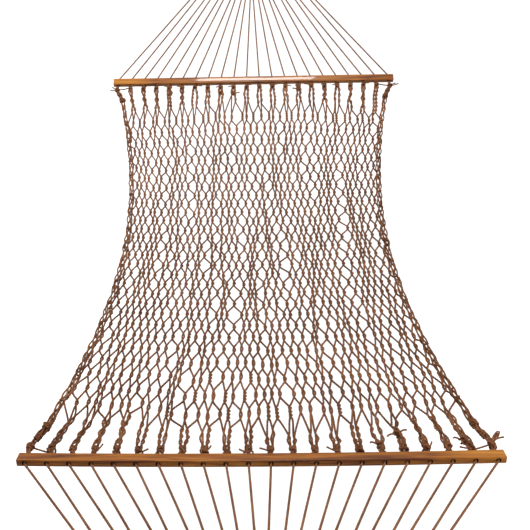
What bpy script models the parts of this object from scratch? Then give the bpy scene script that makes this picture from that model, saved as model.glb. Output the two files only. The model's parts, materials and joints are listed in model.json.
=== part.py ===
"""Rope hammock: a woven rope bed held open by two oak spreader bars.

Each end has eleven folded cords.  Every cord is looped over a steel ring, runs
in its own lane of a V-shaped mat that a serpentine weft holds together, fans
out, passes through two holes of the spreader bar and ends in two stopper
knots.  The rings hang on two hook plates.

Frame: metres, +Z up.  The origin lies midway between the two bars at the
lowest point of the empty, sagging bed.  +X runs along the bars and +Y runs
towards the head end.  A side is -1 at the foot and +1 at the head; inwards
is towards the bed and outwards is towards the hook plate.
"""
import math

import bmesh
import bpy
from mathutils import Matrix, Vector

# Folded cords of one end, counted in lanes from the middle one
CORDS = 11
OUTER_LANE = CORDS // 2
CORD_RADIUS = 0.003
CORD_SPACING = 0.0065       # side by side on the ring

# Spreader bars
BED_LENGTH = 2.083          # between the hole axes' centres of the two bars
BAR_LENGTH = 1.397
BAR_DEPTH = 0.035           # along the holes
BAR_HEIGHT = 0.022
BAR_EASE = 0.0016           # eased arris
BAR_ANGLE = math.radians(23.0)    # hole axis above the horizontal, outwards
FOOT_BAR_BOW = 0.010        # outward bow at mid length
HEAD_BAR_BOW = 0.0
BOW_CUTS = 15               # cuts along a bowed bar
HOLE_COUNT = 2 * CORDS
HOLE_PITCH = 0.0643
HOLE_RADIUS = 0.006
HOLE_SEGMENTS = 12
DRILL_OVERRUN = 0.020       # extra length of the drill, both ends together

# Rings
CLEW_ANGLE = math.radians(27.0)   # pull line above the horizontal, outwards
RING_STATION = 0.946        # bar to ring centre, along the pull line
RING_RADIUS = 0.042         # to the centre of the ring's wire
RING_WIRE = 0.004           # radius of the wire

# Cord loops over the ring, and stopper knots
BIGHT_GAP = 0.0006          # between cord and ring wire
BIGHT_RADIUS = RING_WIRE + CORD_RADIUS + BIGHT_GAP
BIGHT_START = 0.048         # from the ring's centre, where the loop begins
BIGHT_STEPS = 6
CORD_EXIT = 0.0020          # straight run beyond the bar's outer face
KNOT_SCALE = 0.0075 / CORD_RADIUS     # knot radius over cord radius
KNOT_PROFILE = (            # distance inwards from the bar's inner face, radius scale
    (0.0205, 0.8), (0.0165, KNOT_SCALE), (0.0065, KNOT_SCALE), (0.0025, 1.0),
)

# Mat; stations are measured from the ring's centre
MAT_OUTER = 0.062           # outermost cords leave
MAT_TIP = 0.293             # middle cord leaves
WEFT_RADIUS = 0.0022        # runs between the two layers of cords
WEFT_FIRST = 0.074
WEFT_PITCH = 0.0185
WEFT_PASSES = 12
WEFT_CLEARANCE = 0.0015     # between the weft's ends and the outermost cord
WEFT_BULGE = 0.0035         # of a turn, beyond the ends of its passes
LAYER_GAP = 0.0003          # between weft and cord
LAYER = CORD_RADIUS + WEFT_RADIUS + LAYER_GAP

# Bed
SAG = 0.115                 # of the empty bed below the bars
WAIST = 0.5365              # half the bed's width at its narrowest
FLARE = 0.143
FLARE_POWER = 1.9
BED_REACH = 0.985           # half the length of the net and edge ropes
NET_THICKNESS = 0.006
NET_INSET = 0.030           # from the bed's outline
NET_CELLS_ACROSS = 10
NET_CELLS_ALONG = 24
EDGE_RADIUS = 0.011
EDGE_INSET = 0.002          # from the bed's outline to the rope's surface
EDGE_STEPS = 22
EDGE_END_SCALES = {0: 0.7, 1: 1.15}   # steps from an end: radius scale
# Centre line to flat of the six-sided edge rope
EDGE_UNDERSIDE = EDGE_RADIUS * math.cos(math.radians(30.0))

# Places shared by the parts
BAR_Y = BED_LENGTH / 2.0
BAR_Z = SAG + EDGE_UNDERSIDE              # centre of the holes
CONTACT = RING_STATION + RING_RADIUS      # ring's outermost wire centre
AXIS_Z = BAR_Z + CONTACT * math.sin(CLEW_ANGLE)
CONTACT_Y = BAR_Y + CONTACT * math.cos(CLEW_ANGLE)

# Hooks; Y places are distances outwards from the origin
HOOK_WIRE = 0.0045          # radius of the wire
HOOK_BEND = 0.022
HOOK_BEND_STEPS = 14
HOOK_TIP_ANGLE = 128        # degrees round the bend, from outwards by way of up
HOOK_TIP_SCALE = 0.75
HOOK_GAP = 0.0005           # between hook and ring
HOOK_RISE = 0.012           # from the bend up to the neck
NECK_RADIUS = 0.012         # of the turn outwards into the plate
NECK_STEPS = 4
NECK_RUN = 0.004            # from the end of the turn to the plate
BEND_Y = CONTACT_Y - (RING_WIRE + HOOK_WIRE + HOOK_GAP) + HOOK_BEND

# Plates
PLATE_WIDTH = 0.060
PLATE_HEIGHT = 0.090
PLATE_THICKNESS = 0.005
PLATE_CORNER = 0.008
PLATE_CORNER_STEPS = 3
PLATE_HOLE_RADIUS = 0.00325
PLATE_HOLE_INSET = 0.011    # from the plate's edges
PLATE_HOLE_SEGMENTS = 16
PLATE_Y = BEND_Y + HOOK_BEND + NECK_RADIUS + NECK_RUN     # inner face
PLATE_MID_Y = PLATE_Y + PLATE_THICKNESS / 2.0
PLATE_Z = AXIS_Z + HOOK_RISE + NECK_RADIUS


# ------------------------------------------------------------------- helpers
def start_empty():
    for obj in list(bpy.data.objects):
        bpy.data.objects.remove(obj, do_unlink=True)


def material(name, colour, roughness, metallic):
    mat = bpy.data.materials.new(name)
    mat.use_nodes = True
    mat.diffuse_color = (*colour, 1.0)
    shader = mat.node_tree.nodes["Principled BSDF"]
    shader.inputs["Base Color"].default_value = (*colour, 1.0)
    shader.inputs["Roughness"].default_value = roughness
    shader.inputs["Metallic"].default_value = metallic
    return mat


def link(obj, parent=None, mat=None):
    bpy.context.scene.collection.objects.link(obj)
    obj.parent = parent
    if mat is not None:
        obj.data.materials.append(mat)
    return obj


def axis_empty(name, location):
    empty = bpy.data.objects.new(name, None)
    empty.location = location
    empty.empty_display_size = 0.05
    return link(empty)


def mesh_object(name, shape, parent, mat=None):
    bmesh.ops.recalc_face_normals(shape, faces=shape.faces)
    mesh = bpy.data.meshes.new(name)
    shape.to_mesh(mesh)
    shape.free()
    return link(bpy.data.objects.new(name, mesh), parent, mat)


def as_cutter(obj):
    obj.hide_render = True
    obj.display_type = "WIRE"
    return obj


def boolean(obj, operand, operation):
    mod = obj.modifiers.new(operation.lower(), "BOOLEAN")
    mod.operation = operation
    mod.solver = "EXACT"
    mod.object = operand


def add_drill(shape, centre, radius, depth, segments, turn=0.0):
    """Add a cylinder along Y, turned by some degrees about its own axis."""
    place = (Matrix.Translation(centre)
             @ Matrix.Rotation(math.radians(90), 4, "X")
             @ Matrix.Rotation(math.radians(turn), 4, "Z"))
    bmesh.ops.create_cone(shape, cap_ends=True, segments=segments,
                          radius1=radius, radius2=radius,
                          depth=depth, matrix=place)


def cord_curve(name, points, radius, mat, parent, scales=None, resolution=1):
    """A round cord along straight stretches, with closed ends."""
    curve = bpy.data.curves.new(name, "CURVE")
    curve.dimensions = "3D"
    curve.twist_mode = "MINIMUM"
    curve.bevel_depth = radius
    curve.bevel_resolution = resolution
    curve.use_fill_caps = True
    spline = curve.splines.new("POLY")
    spline.points.add(len(points) - 1)
    for i, point in enumerate(points):
        spline.points[i].co = (*(Vector(point) - parent.location), 1.0)
        spline.points[i].radius = 1.0 if scales is None else scales[i]
    spline.use_smooth = True
    return link(bpy.data.objects.new(name, curve), parent, mat)


# -------------------------------------------------------------- shared rules
def clew_point(side, x, station, height):
    """A point of one end's fan plane.

    station is the distance from the ring's centre towards the bar, and
    height is measured square to the fan plane.
    """
    from_bar = RING_STATION - station
    cosine, sine = math.cos(CLEW_ANGLE), math.sin(CLEW_ANGLE)
    return Vector((x,
                   side * (BAR_Y + from_bar * cosine) - side * height * sine,
                   BAR_Z + from_bar * sine + height * cosine))


def hole_axis(side):
    """Direction of the bar's holes, outwards."""
    return Vector((0.0, side * math.cos(BAR_ANGLE), math.sin(BAR_ANGLE)))


def bar_normal(side):
    return Vector((0.0, -side * math.sin(BAR_ANGLE), math.cos(BAR_ANGLE)))


def bow_at(x, bow):
    return bow * (1.0 - (x / (BAR_LENGTH / 2.0)) ** 2)


def hole_x(index):
    return (index - (HOLE_COUNT - 1) / 2.0) * HOLE_PITCH


def bed_height(y):
    return BAR_Z - SAG * (1.0 - (y / BAR_Y) ** 2)


def bed_half_width(y):
    return WAIST + FLARE * abs(y) ** FLARE_POWER


# ------------------------------------------------------------- spreader bars
def bar_blank(name, bow, mat, parent):
    """An undrilled bar with its holes' direction along local Y."""
    shape = bmesh.new()
    bmesh.ops.create_cube(shape, size=1.0)
    for vert in shape.verts:
        vert.co.x *= BAR_LENGTH
        vert.co.y *= BAR_DEPTH
        vert.co.z *= BAR_HEIGHT
    if bow:
        lengthwise = [edge for edge in shape.edges
                      if abs(edge.verts[0].co.x - edge.verts[1].co.x) > BAR_LENGTH / 2.0]
        bmesh.ops.subdivide_edges(shape, edges=lengthwise, cuts=BOW_CUTS,
                                  use_grid_fill=True)
        for vert in shape.verts:
            vert.co.y += bow_at(vert.co.x, bow)
    bar = mesh_object(name, shape, parent, mat)
    bevel = bar.modifiers.new("eased_arris", "BEVEL")
    bevel.width = BAR_EASE
    bevel.segments = 1
    bevel.limit_method = "ANGLE"
    bevel.angle_limit = math.radians(40)
    return bar


def spreader_bar(name, side, bow, mat, parent):
    """A rectangular bar, eased, bowed and drilled through for the cords."""
    bar = bar_blank(name, bow, mat, parent)
    drills = bmesh.new()
    for i in range(HOLE_COUNT):
        x = hole_x(i)
        add_drill(drills, (x, bow_at(x, bow), 0.0), HOLE_RADIUS,
                  BAR_DEPTH + DRILL_OVERRUN, HOLE_SEGMENTS, turn=15)
    cutter = as_cutter(mesh_object(name + "_drill", drills, parent))
    boolean(bar, cutter, "DIFFERENCE")

    # The origin sits half the bow outwards of the bar's straight centre line.
    across = Vector((side, 0.0, 0.0))
    turn = Matrix((across, hole_axis(side), bar_normal(side))).transposed()
    centre = Vector((0.0, side * BAR_Y, BAR_Z))
    for obj in (bar, cutter):
        obj.data.transform(Matrix.Translation((0.0, -bow / 2.0, 0.0)))
        obj.matrix_basis = (Matrix.Translation(centre
                                               + hole_axis(side) * bow / 2.0
                                               - parent.location)
                            @ turn.to_4x4())


# ------------------------------------------------------ cords, mat and rings
def clew_leg(side, lane, layer_sign, hole, bow):
    """One half of a folded cord, from its stopper knot to the ring."""
    axis = hole_axis(side)
    x = hole_x(hole)
    centre = Vector((x, side * BAR_Y, BAR_Z)) + axis * bow_at(x, bow)
    half = BAR_DEPTH / 2.0
    lane_x = CORD_SPACING * lane
    leave = MAT_TIP + (MAT_OUTER - MAT_TIP) * abs(lane) / OUTER_LANE
    points = [centre - axis * (half + distance) for distance, _ in KNOT_PROFILE]
    points += [centre + axis * (half + CORD_EXIT),
               clew_point(side, lane_x, leave, LAYER * layer_sign),
               clew_point(side, lane_x, BIGHT_START, BIGHT_RADIUS * layer_sign)]
    scales = [scale for _, scale in KNOT_PROFILE] + [1.0] * 3
    return points, scales


def folded_cord(name, side, lane, bow, mat, parent):
    """A cord looped over the ring with both its ends knotted at the bar."""
    first_hole = 2 * (lane + OUTER_LANE)
    top, top_scales = clew_leg(side, lane, +1, first_hole, bow)
    low, low_scales = clew_leg(side, lane, -1, first_hole + 1, bow)
    x = CORD_SPACING * lane
    bight = []
    for k in range(BIGHT_STEPS + 1):
        angle = math.pi * k / BIGHT_STEPS
        from_centre = RING_RADIUS - BIGHT_RADIUS * math.sin(angle)
        bight.append(clew_point(side, x, math.sqrt(from_centre ** 2 - x ** 2),
                                BIGHT_RADIUS * math.cos(angle)))
    points = top + bight + low[::-1]
    scales = top_scales + [1.0] * len(bight) + low_scales[::-1]
    cord_curve(name, points, CORD_RADIUS, mat, parent, scales)


def weft(name, side, mat, parent):
    """The cord that snakes between the two layers and holds them as a mat."""
    points = []
    for k in range(WEFT_PASSES):
        station = WEFT_FIRST + WEFT_PITCH * k
        lanes = OUTER_LANE * (MAT_TIP - station) / (MAT_TIP - MAT_OUTER)
        reach = CORD_SPACING * lanes + CORD_RADIUS + WEFT_RADIUS + WEFT_CLEARANCE
        way = -1 if k % 2 else 1
        if k:
            points.append(clew_point(side, -way * (reach + WEFT_BULGE),
                                     station - WEFT_PITCH / 2.0, 0.0))
        points.append(clew_point(side, -way * reach, station, 0.0))
        points.append(clew_point(side, way * reach, station, 0.0))
    cord_curve(name, points, WEFT_RADIUS, mat, parent)


def ring(name, side, mat, parent):
    """A steel ring lying in the fan plane."""
    bpy.ops.mesh.primitive_torus_add(major_radius=RING_RADIUS,
                                     minor_radius=RING_WIRE,
                                     major_segments=36, minor_segments=8)
    obj = bpy.context.object
    obj.name = obj.data.name = name
    centre = clew_point(side, 0, 0, 0)
    along = centre - clew_point(side, 0, 1, 0)
    up = clew_point(side, 0, 0, 1) - centre
    turn = Matrix((Vector((side, 0, 0)), along, up)).transposed().to_4x4()
    obj.data.transform(turn)
    obj.data.transform(Matrix.Translation(centre - parent.location))
    obj.data.shade_smooth()
    obj.data.set_sharp_from_angle(angle=math.radians(60.0))
    obj.data.materials.append(mat)
    obj.parent = parent
    obj.location = (0.0, 0.0, 0.0)


# --------------------------------------------------------------- hook plates
def hook_path():
    """(outward distance, height) of the hook wire, from its tip to the plate."""
    path = []
    for k in range(HOOK_BEND_STEPS + 1):      # tip, round the bend, and up
        angle = math.radians(HOOK_TIP_ANGLE
                             + (360 - HOOK_TIP_ANGLE) * k / HOOK_BEND_STEPS)
        path.append((BEND_Y + HOOK_BEND * math.cos(angle),
                     AXIS_Z + HOOK_BEND * math.sin(angle)))
    for k in range(1, NECK_STEPS + 1):        # turn outwards into the plate
        angle = math.radians(180 - 90 * k / NECK_STEPS)
        path.append((BEND_Y + HOOK_BEND + NECK_RADIUS + NECK_RADIUS * math.cos(angle),
                     AXIS_Z + HOOK_RISE + NECK_RADIUS * math.sin(angle)))
    path.append((PLATE_MID_Y, PLATE_Z))
    return path


def hook_form(name, side, parent):
    """The hook's wire as a mesh, ready to be joined to the plate."""
    points = [(0.0, side * y, z) for y, z in hook_path()]
    scales = [HOOK_TIP_SCALE] + [1.0] * (len(points) - 1)
    wire = cord_curve(name + "_wire", points, HOOK_WIRE, None, parent,
                      scales, resolution=2)
    depsgraph = bpy.context.evaluated_depsgraph_get()
    mesh = bpy.data.meshes.new_from_object(wire.evaluated_get(depsgraph))
    bpy.data.objects.remove(wire, do_unlink=True)
    return as_cutter(link(bpy.data.objects.new(name + "_hook_form", mesh), parent))


def rounded_outline(half_width, half_height, corner, steps):
    outline = []
    for sign_x, sign_z, start in ((1, 1, 0), (-1, 1, 90), (-1, -1, 180), (1, -1, 270)):
        for k in range(steps + 1):
            angle = math.radians(start + 90.0 * k / steps)
            outline.append((sign_x * (half_width - corner) + corner * math.cos(angle),
                            sign_z * (half_height - corner) + corner * math.sin(angle)))
    return outline


def plate_blank(name, side, mat, parent):
    """The plate with rounded corners, before it is drilled."""
    shape = bmesh.new()
    outline = rounded_outline(PLATE_WIDTH / 2.0, PLATE_HEIGHT / 2.0,
                              PLATE_CORNER, PLATE_CORNER_STEPS)
    face = shape.faces.new([
        shape.verts.new(Vector((x, side * PLATE_Y, PLATE_Z + z)) - parent.location)
        for x, z in outline])
    solid = bmesh.ops.extrude_face_region(shape, geom=[face])
    bmesh.ops.translate(shape, vec=(0.0, side * PLATE_THICKNESS, 0.0),
                        verts=[item for item in solid["geom"]
                               if isinstance(item, bmesh.types.BMVert)])
    return mesh_object(name, shape, parent, mat)


def plate_drill(name, side, parent):
    """Four cylinders, one near each corner of the plate."""
    drills = bmesh.new()
    for sign_x in (-1, 1):
        for sign_z in (-1, 1):
            spot = Vector((sign_x * (PLATE_WIDTH / 2.0 - PLATE_HOLE_INSET),
                           side * PLATE_MID_Y,
                           PLATE_Z + sign_z * (PLATE_HEIGHT / 2.0 - PLATE_HOLE_INSET)))
            add_drill(drills, spot - parent.location, PLATE_HOLE_RADIUS,
                      PLATE_THICKNESS * 3, PLATE_HOLE_SEGMENTS)
    return as_cutter(mesh_object(name + "_drill", drills, parent))


def hook_plate(name, side, mat, parent):
    """A screw-on steel plate with an upturned hook welded to it."""
    wire = hook_form(name, side, parent)
    plate = plate_blank(name, side, mat, parent)
    drill = plate_drill(name, side, parent)
    boolean(plate, wire, "UNION")
    boolean(plate, drill, "DIFFERENCE")


# ----------------------------------------------------------------------- bed
def rope_bed(mat, parent):
    """The woven bed as one thin sheet with its true outline and sag."""
    shape = bmesh.new()
    bmesh.ops.create_grid(shape, x_segments=NET_CELLS_ACROSS,
                          y_segments=NET_CELLS_ALONG, size=1.0)
    for vert in shape.verts:
        y = vert.co.y * BED_REACH
        x = vert.co.x * (bed_half_width(y) - NET_INSET)
        vert.co = Vector((x, y, bed_height(y))) - parent.location
    net = mesh_object("rope_net", shape, parent, mat)
    thick = net.modifiers.new("rope_thickness", "SOLIDIFY")
    thick.thickness = NET_THICKNESS
    thick.offset = 0.0


def edge_rope(name, side_x, mat, parent):
    """One side's edge bundle, with a knot near each bar."""
    points, scales = [], []
    for k in range(EDGE_STEPS + 1):
        y = -BED_REACH + 2.0 * BED_REACH * k / EDGE_STEPS
        x = side_x * (bed_half_width(y) - EDGE_RADIUS - EDGE_INSET)
        points.append((x, y, bed_height(y)))
        scales.append(EDGE_END_SCALES.get(min(k, EDGE_STEPS - k), 1.0))
    cord_curve(name, points, EDGE_RADIUS, mat, parent, scales)


def main():
    start_empty()
    oak = material("varnished_oak", colour=(0.55, 0.24, 0.06), roughness=0.30, metallic=0.0)
    rope = material("brown_rope", colour=(0.30, 0.16, 0.09), roughness=0.85, metallic=0.0)
    binding = material("weft_cord", colour=(0.24, 0.13, 0.07), roughness=0.85, metallic=0.0)
    zinc = material("zinc_plated_steel", colour=(0.62, 0.63, 0.65), roughness=0.35,
                    metallic=1.0)

    anchors = axis_empty("anchor_frame", (0.0, 0.0, AXIS_Z))
    swing = axis_empty("swing_axis", (0.0, 0.0, AXIS_Z))
    rope_bed(rope, swing)
    edge_rope("left_edge_rope", -1, rope, swing)
    edge_rope("right_edge_rope", +1, rope, swing)

    for end, side, bow in (("foot", -1, FOOT_BAR_BOW), ("head", +1, HEAD_BAR_BOW)):
        roll = axis_empty(end + "_roll_axis", (0.0, side * CONTACT_Y, AXIS_Z))
        hook_plate(end + "_hook_plate", side, zinc, anchors)
        ring(end + "_ring", side, zinc, roll)
        weft(end + "_clew_weft", side, binding, roll)
        for n in range(CORDS):
            folded_cord(f"{end}_clew_cord_{n + 1:02d}", side, n - OUTER_LANE,
                        bow, rope, roll)
        spreader_bar(end + "_spreader_bar", side, bow, oak, roll)


main()
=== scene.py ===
"""Rope hammock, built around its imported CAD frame.

It lies along Y: the foot end is at -Y, the head end at +Y, left is -X and up is +Z.
A net of twisted rope hangs between two oak spreader bars. Beyond each bar, eleven
doubled clew cords narrow to a flat woven mat and loop over a steel ring on a hook.

Throughout, side is -1 at the foot and +1 at the head, and edge is -1 at the left
and +1 at the right. Lengths are in metres.
"""
import json
import math

import bmesh
import bpy
import numpy as np
from mathutils import Matrix, Vector


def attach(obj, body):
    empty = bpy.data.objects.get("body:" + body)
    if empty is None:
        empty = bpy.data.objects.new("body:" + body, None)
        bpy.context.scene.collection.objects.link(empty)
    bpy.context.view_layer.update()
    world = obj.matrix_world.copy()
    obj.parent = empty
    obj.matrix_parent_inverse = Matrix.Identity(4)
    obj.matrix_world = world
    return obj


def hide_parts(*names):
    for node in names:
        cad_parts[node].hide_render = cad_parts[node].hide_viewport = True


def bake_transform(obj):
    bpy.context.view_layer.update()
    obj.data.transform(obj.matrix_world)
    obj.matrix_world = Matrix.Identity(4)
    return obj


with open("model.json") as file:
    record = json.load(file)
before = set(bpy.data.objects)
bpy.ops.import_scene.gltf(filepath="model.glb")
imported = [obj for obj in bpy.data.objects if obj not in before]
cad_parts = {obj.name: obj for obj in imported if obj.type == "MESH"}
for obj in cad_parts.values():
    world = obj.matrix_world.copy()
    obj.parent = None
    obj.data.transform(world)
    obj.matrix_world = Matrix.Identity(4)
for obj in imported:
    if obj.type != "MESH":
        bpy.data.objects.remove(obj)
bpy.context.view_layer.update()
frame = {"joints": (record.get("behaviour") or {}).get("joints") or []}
RNG = np.random.default_rng(20)

JOINT = {joint["name"]: joint["pos_m"] for joint in frame["joints"]}
BAR_Y, BAR_Z = JOINT["head_bar_tip"][1:3]
CONTACT_Y, AXIS_Z = JOINT["head_roll"][1:3]     # where the ring bears on the hook

END = {-1: "foot", 1: "head"}
EDGE = {-1: "left", 1: "right"}
UP = np.array([0.0, 0.0, 1.0])

# spreader bars
BAR_LENGTH, BAR_DEPTH, BAR_HEIGHT = 1.397, 0.035, 0.022
BOW = {-1: 0.010, 1: 0.0}           # outward bow at mid length
BAR_ANGLE = math.radians(23.0)
HOLES, HOLE_PITCH, HOLE_R = 22, 0.0643, 0.006

# clews, measured from the bar (ring) or from the ring centre (mat)
CLEW_ANGLE = math.radians(27.0)
RING_STATION, RING_R, RING_WIRE = 0.946, 0.042, 0.004
CORD_R, PACKED_CORD_R = 0.0034, 0.00298
RING_GAP = RING_WIRE + 0.003 + 0.0006   # ring wire centre to cord centre
MAT_OUTER, MAT_TIP = 0.062, 0.293   # where the outermost and middle cords leave the mat
OUTER_LANE, LANE = 5, 0.0065        # lanes run from -5 to 5, this far apart

# bed
SAG, CROSS_SAG = 0.115, 0.016
EDGE_INSET = 0.0125                 # edge rope centre, in from the bed's side

# net: four strands, in two pairs, from every hole but the outermost two
BUNCHES = HOLES - 2
PAIRS = 2 * BUNCHES
STRANDS = 2 * PAIRS
STRAND_R = 0.0035
HALF_BUNCH = 0.0064                 # half the gap between the two pairs at a bar knot
KNOT_Y = {-1: -0.992, 1: 0.992}
FAN_Y = {-1: -0.938, 1: 0.905}      # where the bunches open out into the net
FIRST_ROW_Y, LAST_ROW_Y = -0.858, 0.800
FADE_ROWS = 6.5                     # rows over which the bars' pull on the net dies out

# hook and plate; y values are for the head end
HOOK_WIRE, HOOK_BEND, NECK_BEND = 0.0045, 0.022, 0.012
HOOK_BEND_Y = CONTACT_Y - (RING_WIRE + HOOK_WIRE + 0.0005) + HOOK_BEND
PLATE_Y = HOOK_BEND_Y + HOOK_BEND + NECK_BEND + 0.004
PLATE_Z = AXIS_Z + 2 * NECK_BEND
PLATE_HALF_WIDTH, PLATE_HALF_HEIGHT, PLATE_CORNER = 0.030, 0.045, 0.008
PLATE_THICKNESS = 0.005
SCREW_X, SCREW_Z, SCREW_R = 0.019, 0.034, 0.00325

FLOOR_Z = -0.75


# ------------------------------------------------------------ mesh utilities
def add_object(name, data):
    obj = bpy.data.objects.new(name, data)
    bpy.context.scene.collection.objects.link(obj)
    return obj


class Parts:
    """Gathers swept tubes, then makes one mesh of them."""

    def __init__(self):
        self.verts, self.faces, self.uvs, self.count = [], [], [], 0

    def add(self, verts, faces, uvs):
        self.verts.append(verts)
        self.faces += [face + self.count for face in faces]
        self.uvs += uvs
        self.count += len(verts)

    def object(self, name, material):
        co = np.concatenate(self.verts).astype(np.float32)
        sizes = np.concatenate([np.full(len(f), f.shape[1]) for f in self.faces])
        loops = np.concatenate([f.ravel() for f in self.faces])
        uv = np.concatenate([u.reshape(-1, 2) for u in self.uvs])
        starts = np.concatenate([[0], np.cumsum(sizes)[:-1]])
        mesh = bpy.data.meshes.new(name)
        mesh.vertices.add(len(co))
        mesh.vertices.foreach_set("co", co.ravel())
        mesh.loops.add(len(loops))
        mesh.loops.foreach_set("vertex_index", loops.astype(np.int32))
        mesh.polygons.add(len(sizes))
        mesh.polygons.foreach_set("loop_start", starts.astype(np.int32))
        mesh.polygons.foreach_set("loop_total", sizes.astype(np.int32))
        layer = mesh.uv_layers.new(name="Rope")
        layer.data.foreach_set("uv", uv.astype(np.float32).ravel())
        mesh.update(calc_edges=True)
        mesh.validate()
        mesh.shade_smooth()
        mesh.materials.append(material)
        return add_object(name, mesh)


def unit(vectors):
    length = np.linalg.norm(vectors, axis=-1, keepdims=True)
    return vectors / np.maximum(length, 1e-12)


def tangents(path, closed=False):
    if closed:
        return unit(np.roll(path, -1, axis=0) - np.roll(path, 1, axis=0))
    along = np.empty_like(path)
    along[1:-1] = path[2:] - path[:-2]
    along[0] = path[1] - path[0]
    along[-1] = path[-1] - path[-2]
    return unit(along)


def arclength(path):
    steps = np.linalg.norm(np.diff(path, axis=0), axis=1)
    return np.concatenate([[0], np.cumsum(steps)])


def frames(path, up=None, closed=False):
    """Tangent and two normals along a path, by an up vector or parallel transport."""
    along = tangents(path, closed)
    if up is not None:
        across = unit(np.cross(along, np.broadcast_to(up, along.shape)))
        return along, across, np.cross(across, along)
    across = np.empty_like(path)
    start_ref = UP if abs(along[0, 2]) < 0.9 else np.array([1.0, 0, 0])
    across[0] = unit(np.cross(along[0], start_ref))
    for i in range(1, len(path)):
        moved = across[i - 1] - along[i] * (across[i - 1] @ along[i])
        across[i] = moved / max(np.linalg.norm(moved), 1e-9)
    return along, across, np.cross(across, along)


def resample(path, step):
    """Near-even spacing along a polyline."""
    path = np.asarray(path, float)
    s = arclength(path)
    count = max(2, int(round(s[-1] / step)) + 1)
    places = np.linspace(0, s[-1], count)
    return np.stack([np.interp(places, s, path[:, k]) for k in range(3)], 1)


def soften(path, passes):
    """Rounds a path's corners in place; its ends stay."""
    for _ in range(passes):
        path[1:-1] = (path[:-2] + 2 * path[1:-1] + path[2:]) / 4


def catmull(points, per=6):
    """A Catmull-Rom curve through control points, with per steps to each span."""
    points = np.asarray(points, float)
    ext = np.vstack([2 * points[0] - points[1], points, 2 * points[-1] - points[-2]])
    u = np.linspace(0, 1, per, endpoint=False)[:, None]
    out = []
    for i in range(1, len(ext) - 2):
        a, b, c, d = ext[i - 1:i + 3]
        out.append(0.5 * (2 * b + (c - a) * u + (2 * a - 5 * b + 4 * c - d) * u ** 2
                          + (3 * b - a - 3 * c + d) * u ** 3))
    out.append(points[-1:])
    return np.concatenate(out)


def tube(parts, path, radius, sides=6, depth=0.09, pitch=0.024, phase=0.0, up=None,
         closed=False):
    """Sweeps a three-lobed, twisting section along a path: one laid rope.

    depth is the height of the lobes as a share of the radius and pitch the length of
    one turn; with both 0 the tube is a plain wire. Open ends get low cone caps.
    """
    path = np.asarray(path, float)
    count = len(path)
    along, across, over = frames(path, up, closed)
    s = arclength(path)
    radii = np.broadcast_to(np.asarray(radius, float), (count,))
    angle = np.arange(sides) * 2 * np.pi / sides
    turn = phase + (2 * np.pi * s / pitch if pitch else 0 * s)
    section = angle[None, :] + turn[:, None]
    reach = radii[:, None] * (1 + depth * np.cos(3 * angle)[None, :])
    ring = (across[:, None, :] * np.cos(section)[..., None]
            + over[:, None, :] * np.sin(section)[..., None]) * reach[..., None]
    verts = (path[:, None, :] + ring).reshape(-1, 3)

    rows = count if closed else count - 1
    i = np.arange(rows)[:, None]
    j = np.arange(sides)[None, :]
    i2 = (i + 1) % count
    j2 = (j + 1) % sides
    quads = np.stack([i * sides + j, i * sides + j2, i2 * sides + j2, i2 * sides + j],
                     -1).reshape(-1, 4)
    u = np.append(s, s[-1] + (s[1] - s[0]))
    u0, u1, v0, v1 = np.broadcast_arrays(u[:rows, None], u[1:rows + 1, None],
                                         j / sides, (j + 1) / sides)
    faces = [quads]
    uvs = [np.stack([u0, v0, u0, v1, u1, v1, u1, v0], -1).reshape(-1, 4, 2)]
    if not closed:
        first_tip, last_tip = len(verts), len(verts) + 1
        verts = np.vstack([verts, path[0] - along[0] * radii[0] * 0.35,
                           path[-1] + along[-1] * radii[-1] * 0.35])
        k = np.arange(sides)
        k2 = (k + 1) % sides
        base = (count - 1) * sides
        caps = np.concatenate([
            np.stack([k2, k, np.full(sides, first_tip)], 1),
            np.stack([base + k, base + k2, np.full(sides, last_tip)], 1)])
        cap_uv = np.zeros((len(caps), 3, 2))
        cap_uv[sides:, :, 0] = s[-1]
        faces.append(caps)
        uvs.append(cap_uv)
    parts.add(verts, faces, uvs)


def knot_cord(parts, path, radius):
    """The cord that knots, wraps and loose ends are made of."""
    tube(parts, path, radius, sides=8, pitch=0.026)


def knot_curve(size, seed, stretch=1.0):
    """A fat overhand knot drawn tight, about size across, randomly turned."""
    t = np.linspace(0, 2 * np.pi, 46)[:-3]
    x = np.sin(t) + 2 * np.sin(2 * t)
    y = np.cos(t) - 2 * np.cos(2 * t)
    z = -np.sin(3 * t) * 1.25
    path = np.stack([x, y * stretch, z], 1) / 6.0 * size
    turns = np.random.default_rng(seed).uniform(0, 2 * np.pi, 3)
    turn = (Matrix.Rotation(turns[0], 3, "Y") @ Matrix.Rotation(turns[1] * 0.1, 3, "X")
            @ Matrix.Rotation(turns[2], 3, "Z"))
    return path @ np.array(turn).T


def coil(centre, axis, radius, turns, length, phase, squash):
    """A cord wound round an axis, flattened by squash."""
    axis = unit(axis)
    across = unit(np.cross(axis, UP))
    over = np.cross(across, axis)
    t = np.linspace(0, 1, int(turns * 14) + 1)
    angle = phase + 2 * np.pi * turns * t
    return (centre + axis * ((t - 0.5) * length)[:, None]
            + across * (radius * np.cos(angle))[:, None]
            + over * (radius * squash * np.sin(angle))[:, None])


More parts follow.
